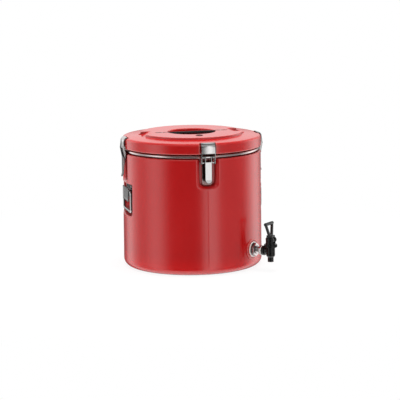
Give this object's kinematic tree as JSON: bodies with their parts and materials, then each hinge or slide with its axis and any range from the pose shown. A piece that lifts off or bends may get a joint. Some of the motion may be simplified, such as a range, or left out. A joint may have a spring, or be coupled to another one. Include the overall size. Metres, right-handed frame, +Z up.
{
  "type": "insulated beverage dispenser",
  "caption": "Round insulated drink barrel with a clamped lift-off lid, toggle latches, drop handles and a self-closing lever tap low on its side.",
  "frame": {"origin": "centre of the base on the ground, on the barrel's axis", "axes": "+Z up along the barrel's axis, -Y out through the front latch, +X out through the right-hand handle; the tap points between +X and -Y"},
  "size_m": [0.394, 0.394, 0.3669],
  "materials": {
    "red_shell": "glossy moulded polyethylene",
    "black_tap": "satin moulded plastic",
    "foam": "rigid foam",
    "silicone": "silicone",
    "vessel_steel": "brushed stainless sheet",
    "fixing_steel": "turned stainless steel",
    "latch_steel": "polished stainless steel"
  },
  "bodies": {
    "barrel": {"outer_shell": "red_shell", "foam_plug": "red_shell", "tap_body": "black_tap", "tap_bonnet": "black_tap", "insulation_foam": "foam", "tap_inner_seal": "silicone", "tap_outer_seal": "silicone", "tap_gasket": "silicone", "inner_vessel": "vessel_steel", "rim_ring": "vessel_steel", "latch_rivets": "fixing_steel", "handle_rivets": "fixing_steel", "tap_washer": "fixing_steel", "tap_clamp_nut": "fixing_steel", "tap_inner_nut": "fixing_steel", "tap_lock_nut": "fixing_steel", "tap_nipple": "fixing_steel", "tap_spring": "fixing_steel", "latch_pivots": "latch_steel", "latch_base_front": "latch_steel", "latch_base_right": "latch_steel", "latch_base_back": "latch_steel", "latch_base_left": "latch_steel", "handle_bracket_right": "latch_steel", "handle_bracket_left": "latch_steel"},
    "lid": {"lid_shell": "red_shell", "lid_foam": "foam", "lid_liner": "vessel_steel", "lid_gasket": "silicone", "grip_bar": "black_tap", "grip_screws": "fixing_steel", "vent_cap": "black_tap", "vent_tube": "black_tap"},
    "lever_front": {"latch_lever_front": "latch_steel", "latch_link_front": "latch_steel"},
    "claw_front": {"latch_claw_front": "latch_steel"},
    "lever_right": {"latch_lever_right": "latch_steel", "latch_link_right": "latch_steel"},
    "claw_right": {"latch_claw_right": "latch_steel"},
    "lever_back": {"latch_lever_back": "latch_steel", "latch_link_back": "latch_steel"},
    "claw_back": {"latch_claw_back": "latch_steel"},
    "lever_left": {"latch_lever_left": "latch_steel", "latch_link_left": "latch_steel"},
    "claw_left": {"latch_claw_left": "latch_steel"},
    "bail_right": {"handle_bail_right": "latch_steel"},
    "bail_left": {"handle_bail_left": "latch_steel"},
    "tap_stem": {"tap_stem": "fixing_steel", "tap_seat_cup": "silicone", "tap_pivot_pin": "fixing_steel"},
    "tap_lever": {"tap_lever": "black_tap"}
  },
  "joints": [
    {"name": "lid_lift", "type": "slide", "parent": "barrel", "child": "lid", "axis": [0, 0, 1], "range_m": [0, 0.12]},
    {"name": "lever_front_swing", "type": "hinge", "parent": "barrel", "child": "lever_front", "pos_m": [0, -0.1905, 0.32], "axis": [-1, 0, 0], "range_deg": [-7, 120]},
    {"name": "claw_front_swing", "type": "hinge", "parent": "lever_front", "child": "claw_front", "pos_m": [0, -0.188, 0.305], "axis": [-1, 0, 0], "range_deg": [-144.5, 8.9]},
    {"name": "lever_right_swing", "type": "hinge", "parent": "barrel", "child": "lever_right", "pos_m": [0.1905, 0, 0.32], "axis": [0, -1, 0], "range_deg": [-7, 120]},
    {"name": "claw_right_swing", "type": "hinge", "parent": "lever_right", "child": "claw_right", "pos_m": [0.188, 0, 0.305], "axis": [0, -1, 0], "range_deg": [-144.5, 8.9]},
    {"name": "lever_back_swing", "type": "hinge", "parent": "barrel", "child": "lever_back", "pos_m": [0, 0.1905, 0.32], "axis": [1, 0, 0], "range_deg": [-7, 120]},
    {"name": "claw_back_swing", "type": "hinge", "parent": "lever_back", "child": "claw_back", "pos_m": [0, 0.188, 0.305], "axis": [1, 0, 0], "range_deg": [-144.5, 8.9]},
    {"name": "lever_left_swing", "type": "hinge", "parent": "barrel", "child": "lever_left", "pos_m": [-0.1905, 0, 0.32], "axis": [0, 1, 0], "range_deg": [-7, 120]},
    {"name": "claw_left_swing", "type": "hinge", "parent": "lever_left", "child": "claw_left", "pos_m": [-0.188, 0, 0.305], "axis": [0, 1, 0], "range_deg": [-144.5, 8.9]},
    {"name": "bail_right_swing", "type": "hinge", "parent": "barrel", "child": "bail_right", "pos_m": [0.181, 0, 0.212], "axis": [0, -1, 0], "range_deg": [0, 100]},
    {"name": "bail_left_swing", "type": "hinge", "parent": "barrel", "child": "bail_left", "pos_m": [-0.181, 0, 0.212], "axis": [0, 1, 0], "range_deg": [0, 100]},
    {"name": "tap_stem_lift", "type": "slide", "parent": "barrel", "child": "tap_stem", "axis": [0, 0, 1], "range_m": [0, 0.0037], "deforming": ["tap_spring"]},
    {"name": "tap_lever_tilt", "type": "hinge", "parent": "tap_stem", "child": "tap_lever", "pos_m": [0.17416, -0.17416, 0.0861], "axis": [0.7071, 0.7071, 0], "range_deg": [0, 35], "stiffness_Nm_per_rad": 0.5, "springref_deg": -11.46}
  ],
  "couplings": [
    {"joint": "claw_front_swing", "follows": "lever_front_swing", "ratio": -1.2},
    {"joint": "claw_right_swing", "follows": "lever_right_swing", "ratio": -1.2},
    {"joint": "claw_back_swing", "follows": "lever_back_swing", "ratio": -1.2},
    {"joint": "claw_left_swing", "follows": "lever_left_swing", "ratio": -1.2},
    {"joint": "tap_stem_lift", "follows": "tap_lever_tilt", "m_per_rad": 0.006}
  ]
}
